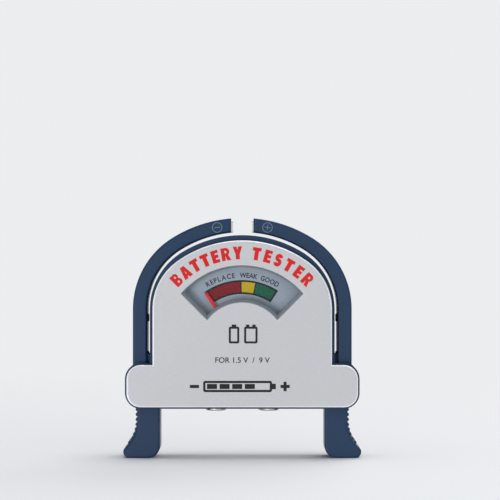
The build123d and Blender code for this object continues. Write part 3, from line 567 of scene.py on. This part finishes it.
def bold_loops(letter):
    """Outline and holes of a heavy plain capital, one unit high: A, B, E, R, S, T or else Y."""
    if letter == "A":
        foot = ((0.82, 0), (0.49, 0), (0.46, 0.16), (0.36, 0.16), (0.33, 0))
        return [[(0, 0), (0.22, 1), (0.6, 1), *foot], [(0.375, 0.38), (0.41, 0.6), (0.445, 0.38)]]
    if letter == "B":
        outer = [(0, 0), (0, 1)] + arc_points(0.42, 0.75, 0.25, 0, 135, 10)
        outer += [(0.55, 0.53)] + arc_points(0.42, 0.285, 0.285, 42, 180, 12)
        top = [(0.31, 0.63), (0.31, 0.79)] + arc_points(0.38, 0.71, 0.08, 0, 180, 8)
        low = [(0.31, 0.2), (0.31, 0.38)] + arc_points(0.39, 0.29, 0.09, 0, 180, 8)
        return [outer, top, low]
    if letter == "E":
        steps = ((0.62, 1), (0.62, 0.75), (0.33, 0.75), (0.33, 0.63), (0.58, 0.63), (0.58, 0.38))
        return [[(0, 0), (0, 1), *steps, (0.33, 0.38), (0.33, 0.25), (0.62, 0.25), (0.62, 0)]]
    if letter == "R":
        outer = [(0, 0), (0, 1)] + arc_points(0.41, 0.695, 0.305, 0, 145, 12)
        outer += [(0.77, 0), (0.43, 0), (0.33, 0.33), (0.31, 0.33), (0.31, 0)]
        return [outer, [(0.31, 0.58), (0.31, 0.78)] + arc_points(0.38, 0.68, 0.1, 0, 180, 8)]
    if letter == "S":
        upper = arc_points(0.33, 0.685, 0.175, 75, -180, 16)
        return [stroke(upper + arc_points(0.33, 0.32, 0.19, 0, 255, 16)[1:], 0.145)]
    if letter == "T":
        arms = ((0, 1), (0.73, 1), (0.73, 0.73), (0.54, 0.73), (0.54, 0), (0.19, 0))
        return [[*arms, (0.19, 0.73), (0, 0.73)]]
    left = ((0.225, 0), (0.225, 0.4), (0, 1), (0.34, 1))
    return [[*left, (0.4, 0.74), (0.46, 1), (0.8, 1), (0.575, 0.4), (0.575, 0)]]


def bold_glyph(letter, height, squeeze):
    """A heavy capital as a thin flat mesh in metres, base line at 0."""
    curve = bpy.data.curves.new("bold", "CURVE")
    curve.dimensions = "2D"
    curve.fill_mode = "BOTH"
    curve.extrude = INK
    for loop in bold_loops(letter):
        spline = curve.splines.new("POLY")
        spline.points.add(len(loop) - 1)
        for point, (x, z) in zip(spline.points, loop):
            point.co = (x * squeeze * height * MM, z * height * MM, 0, 1)
        spline.use_cyclic_u = True
    return mesh_of(curve)


def extent(mesh):
    """The lowest and the highest X of a mesh."""
    xs = [v.co.x for v in mesh.vertices]
    return min(xs), max(xs)


def add_glyphs(bm, mesh, x, z, angle, y, mirrored=False):
    """Stands glyphs on a face at depth y, turned by angle. All lengths are in metres.

    mirrored faces them to the back.
    """
    turn = Matrix.Rotation(radians(angle), 4, "Y")
    stand = Matrix.Rotation(radians(90), 4, "X")
    if mirrored:
        stand = Matrix.Rotation(pi, 4, "Z") @ stand
    mesh.transform(Matrix.Translation((x, y, z)) @ turn @ stand)
    bm.from_mesh(mesh)
    bpy.data.meshes.remove(mesh)


def add_arc_text(bm, letters, r, start, end, height, y):
    """Letters round the meter's axis, base line at r, spread evenly from start to end degrees."""
    spans = [extent(letter) for letter in letters]
    widths = [high - low for low, high in spans]
    middle = (r + height / 2) * MM
    gap = (radians(end - start) * middle - sum(widths)) / (len(letters) - 1)
    along = 0.0
    for letter, (low, high), width in zip(letters, spans, widths):
        letter.transform(Matrix.Translation((-(low + high) / 2, 0, 0)))
        angle = start + (along + width / 2) / middle * 180 / pi
        x = r * MM * sin(radians(angle))
        z = METER_Z + r * MM * cos(radians(angle))
        add_glyphs(bm, letter, x, z, angle, y)
        along += width + gap


# ================= what is printed where =================

RED_INK = lacquer("red_ink", (0.62, 0.010, 0.012), 0.42)
BLACK_INK = lacquer("black_ink", (0.012, 0.012, 0.013), 0.42)
BAND_RED = lacquer("band_red", (0.22, 0.004, 0.010), 0.45)
BAND_YELLOW = lacquer("band_yellow", (0.60, 0.42, 0.004), 0.45)
BAND_GREEN = lacquer("band_green", (0.002, 0.115, 0.055), 0.45)
DIAL_INK = lacquer("dial_ink", (0.02, 0.022, 0.03), 0.45)
LIGHT_INK = lacquer("light_ink", (0.15, 0.23, 0.31), 0.4)
LABEL_FILM = lacquer("label_film", (0.55, 0.56, 0.58), 0.35)


def title():
    """The generic name of the instrument over the window."""
    bm = bmesh.new()
    for word, start, end in TITLE_WORDS:
        letters = [bold_glyph(letter, TITLE_HEIGHT, TITLE_SQUEEZE) for letter in word]
        add_arc_text(bm, letters, TITLE_R, start, end, TITLE_HEIGHT, COVER_FRONT)
    piece_from(bm, "print_title", [RED_INK], "case")


def add_long_cell(bm, near, far):
    """A long cell on its side, with four bars in it, between a minus and a plus sign."""
    width, height, corner, line = 16.4, 2.7, 0.5, 0.55
    button_width, button_height = 0.9, 1.3
    first_x, pitch, bar_width, bar_height = -7.2, 3.0, 2.4, 1.2
    sign, thick = 2.2, 0.75
    minus_x, plus_x = -11.4, 10.2
    add_frame(bm, LONG_CELL_X, LONG_CELL_Z, width, height, corner, line, near, far)
    button_x = LONG_CELL_X + (width + button_width) / 2
    add_bar(bm, button_x, LONG_CELL_Z, button_width, button_height, near, far)
    for i in range(4):
        add_bar(bm, first_x + pitch * i, LONG_CELL_Z, bar_width, bar_height, near, far)
    for x in (minus_x, plus_x):
        add_bar(bm, x, LONG_CELL_Z, sign, thick, near, far)
    for z in (LONG_CELL_Z - thick, LONG_CELL_Z + thick):
        add_bar(bm, plus_x, z, thick, thick, near, far)


def front_marks():
    """A round cell and a block battery in outline, the two voltages, and a long cell."""
    cell_x, block_x, z = -1.95, 2.05, 29.55
    corner, line = 0.4, 0.5
    near, far = COVER_FRONT - INK, COVER_FRONT + INK
    bm = bmesh.new()
    add_battery(bm, cell_x, z, (2.5, 4.0), corner, line, (1.1, 0.5), (0,), near, far)
    add_battery(bm, block_x, z, (3.2, 4.0), corner, line, (0.8, 0.5), (-0.75, 0.75), near, far)
    voltages = glyphs("FOR 1.5 V  /  9 V", VOLTAGES_HEIGHT, SMALL_WEIGHT)
    add_glyphs(bm, voltages, 0.0, VOLTAGES_Z * MM, 0, COVER_FRONT)
    add_long_cell(bm, near, far)
    piece_from(bm, "print_marks", [BLACK_INK], "case")


def dial_scale():
    """The black-bordered colour band on the dial plate."""
    bm = bmesh.new()
    add_sector(bm, *SCALE_BORDER, DIAL_FRONT - INK, DIAL_FRONT + INK)
    for index, (start, end) in enumerate(BANDS, start=1):
        add_sector(bm, BAND_IN, BAND_OUT, start, end, DIAL_FRONT - 2 * INK, DIAL_FRONT, index)
    inks = [BLACK_INK, BAND_RED, BAND_YELLOW, BAND_GREEN]
    piece_from(bm, "print_scale", inks, "case")


def dial_words():
    """The three words over the colour band."""
    bm = bmesh.new()
    for word, start, end in DIAL_WORDS:
        letters = [glyphs(letter, WORD_HEIGHT, WORD_WEIGHT, WORD_SQUEEZE) for letter in word]
        add_arc_text(bm, letters, WORD_R, start, end, WORD_HEIGHT, DIAL_FRONT)
    piece_from(bm, "print_words", [DIAL_INK], "case")


def polarity_sign(plus, near, far):
    """A bar, or a cross made of three bars, round the origin."""
    bm = bmesh.new()
    add_bar(bm, 0, 0, POLARITY_SIGN, POLARITY_LINE, near, far)
    if plus:
        for end in (-1, 1):
            middle = end * (POLARITY_SIGN + POLARITY_LINE) / 4
            add_bar(bm, 0, middle, POLARITY_LINE, (POLARITY_SIGN - POLARITY_LINE) / 2, near, far)
    mesh = bpy.data.meshes.new("sign")
    bm.to_mesh(mesh)
    bm.free()
    return mesh


def polarity_fill():
    """Light ink in the engraved rings and signs at the arm tips."""
    floor = ARM_FRONT + POLARITY_DEPTH
    near, far = floor - POLARITY_FILL, floor + INK
    for side, body in ((-1, "left_lever"), (1, "right_lever")):
        x = side * (ARCH_R - ARCH_MIDDLE) * sin(radians(POLARITY_ANGLE))
        z = ARCH_TOP - ARCH_R + (ARCH_R - ARCH_MIDDLE) * cos(radians(POLARITY_ANGLE))
        bm = bmesh.new()
        add_ring(bm, x, z, POLARITY_RING_R, POLARITY_LINE, near, far)
        sign = polarity_sign(side > 0, near, far)
        turn = Matrix.Rotation(radians(side * POLARITY_ANGLE), 4, "Y")
        sign.transform(Matrix.Translation((x * MM, 0, z * MM)) @ turn)
        bm.from_mesh(sign)
        bpy.data.meshes.remove(sign)
        piece_from(bm, "print_polarity_" + body, [LIGHT_INK], body)


def back_label():
    """A plain satin label in the recess on the back."""
    floor = BACK_FACE - LABEL_RECESS
    bm = bmesh.new()
    add_prism(bm, rounded_outline(0, LABEL_Z, *LABEL_SIZE, LABEL_CORNER), floor - INK, floor + LABEL_THICK)
    piece_from(bm, "back_label", [LABEL_FILM], "case")


def label_drawings():
    """A round cell and a block battery with their voltages, in a border on the back label."""
    border_width, border_height, border_corner, border_line = 22.2, 15.2, 0.9, 0.2
    cell_x, block_x, z = -5.4, 5.4, 31.6
    corner, line = 0.5, 0.35
    text_z, text_height = 37.9, 1.15
    near = BACK_FACE - LABEL_RECESS + LABEL_THICK
    far = near + INK
    bm = bmesh.new()
    add_frame(bm, 0, LABEL_Z, border_width, border_height, border_corner, border_line, near, far)
    add_battery(bm, cell_x, z, (4.4, 8.6), corner, line, (1.8, 0.6), (0,), near, far)
    add_battery(bm, block_x, z, (6.0, 8.6), corner, line, (1.4, 0.6), (-1.5, 1.5), near, far)
    for x, text in ((cell_x, "1.5 V"), (block_x, "9 V")):
        words = glyphs(text, text_height, SMALL_WEIGHT)
        add_glyphs(bm, words, x * MM, text_z * MM, 0, near, mirrored=True)
    piece_from(bm, "print_label", [BLACK_INK], "case")


title()
front_marks()
dial_scale()
dial_words()
polarity_fill()
back_label()
label_drawings()


# ================= studio =================


def floor_paint():
    """Pale paint that fades into the backdrop away from the object, so that no horizon shows."""
    paint = Shader("pale_floor", (0.93, 0.93, 0.93), 0.6)
    paint.color(paint.mix(paint.noise(6.0, 3.0), rgb((0.92, 0.92, 0.93)), rgb((0.94, 0.94, 0.95))))
    reach = paint.node("ShaderNodeVectorMath")
    reach.operation = "LENGTH"
    paint.plug(reach.inputs[0], paint.coords)
    away = paint.ramp(reach.outputs["Value"], 0.08, 0.5, 0.0, 1.0)
    glow = paint.node("ShaderNodeEmission", Color=BACKDROP)
    blend = paint.node("ShaderNodeMixShader", Fac=away)
    paint.plug(blend.inputs[1], paint.principled.outputs[0])
    paint.plug(blend.inputs[2], glow.outputs[0])
    paint.plug(paint.tree.nodes["Material Output"].inputs["Surface"], blend.outputs[0])
    return paint.material


def ground():
    """A wide round floor under the object."""
    floor_mesh = bpy.data.meshes.new("floor")
    bm = bmesh.new()
    bmesh.ops.create_circle(bm, cap_ends=True, segments=96, radius=7.0)
    bm.to_mesh(floor_mesh)
    bm.free()
    floor = bpy.data.objects.new("floor", floor_mesh)
    bpy.context.scene.collection.objects.link(floor)
    floor.visible_shadow = False  # the key light comes from slightly below it
    floor_mesh.materials.append(floor_paint())


def surroundings():
    """Soft bluish light from all round, and a plain backdrop where the camera sees past the object."""
    world = bpy.data.worlds.new("studio")
    bpy.context.scene.world = world
    world.use_nodes = True
    tree = world.node_tree
    light = tree.nodes["Background"]
    light.inputs["Color"].default_value = (0.93, 0.96, 1.0, 1)
    light.inputs["Strength"].default_value = 0.42
    backdrop = tree.nodes.new("ShaderNodeBackground")
    backdrop.inputs["Color"].default_value = BACKDROP
    seen = tree.nodes.new("ShaderNodeLightPath")
    both = tree.nodes.new("ShaderNodeMixShader")
    tree.links.new(seen.outputs["Is Camera Ray"], both.inputs["Fac"])
    tree.links.new(light.outputs[0], both.inputs[1])
    tree.links.new(backdrop.outputs[0], both.inputs[2])
    tree.links.new(both.outputs[0], tree.nodes["World Output"].inputs["Surface"])


def lamps():
    """Four broad lamps, each given by the direction that it stands in, its spread and its strength."""
    settings = (
        ("key", (-0.42, -1.0, -0.22), 24, 1.15),
        ("fill", (0.3, -1.0, 0.25), 50, 0.45),
        ("top", (0.15, 0.1, 1.0), 50, 1.1),
        ("rim", (0.4, 0.9, 0.5), 40, 0.7),
    )
    for name, toward, spread, strength in settings:
        light = bpy.data.lights.new(name, "SUN")
        light.angle = radians(spread)
        light.energy = strength
        lamp = bpy.data.objects.new(name, light)
        lamp.rotation_euler = (-Vector(toward)).to_track_quat("-Z", "Y").to_euler()
        bpy.context.scene.collection.objects.link(lamp)


def camera():
    """Level and straight on, from far enough to look nearly flat."""
    distance, frame_width, sensor = 0.7, 0.11905, 36.0
    lens = bpy.data.cameras.new("camera")
    lens.sensor_width = sensor
    lens.lens = sensor * distance / frame_width
    lens.clip_start = 0.01
    eye = bpy.data.objects.new("camera", lens)
    eye.location = (1.85 * MM, COVER_FRONT - distance, 49.8 * MM)
    eye.rotation_euler = (radians(90), 0, 0)
    bpy.context.scene.collection.objects.link(eye)
    bpy.context.scene.camera = eye


ground()
surroundings()
lamps()
camera()
bpy.context.scene.view_settings.view_transform = "Standard"
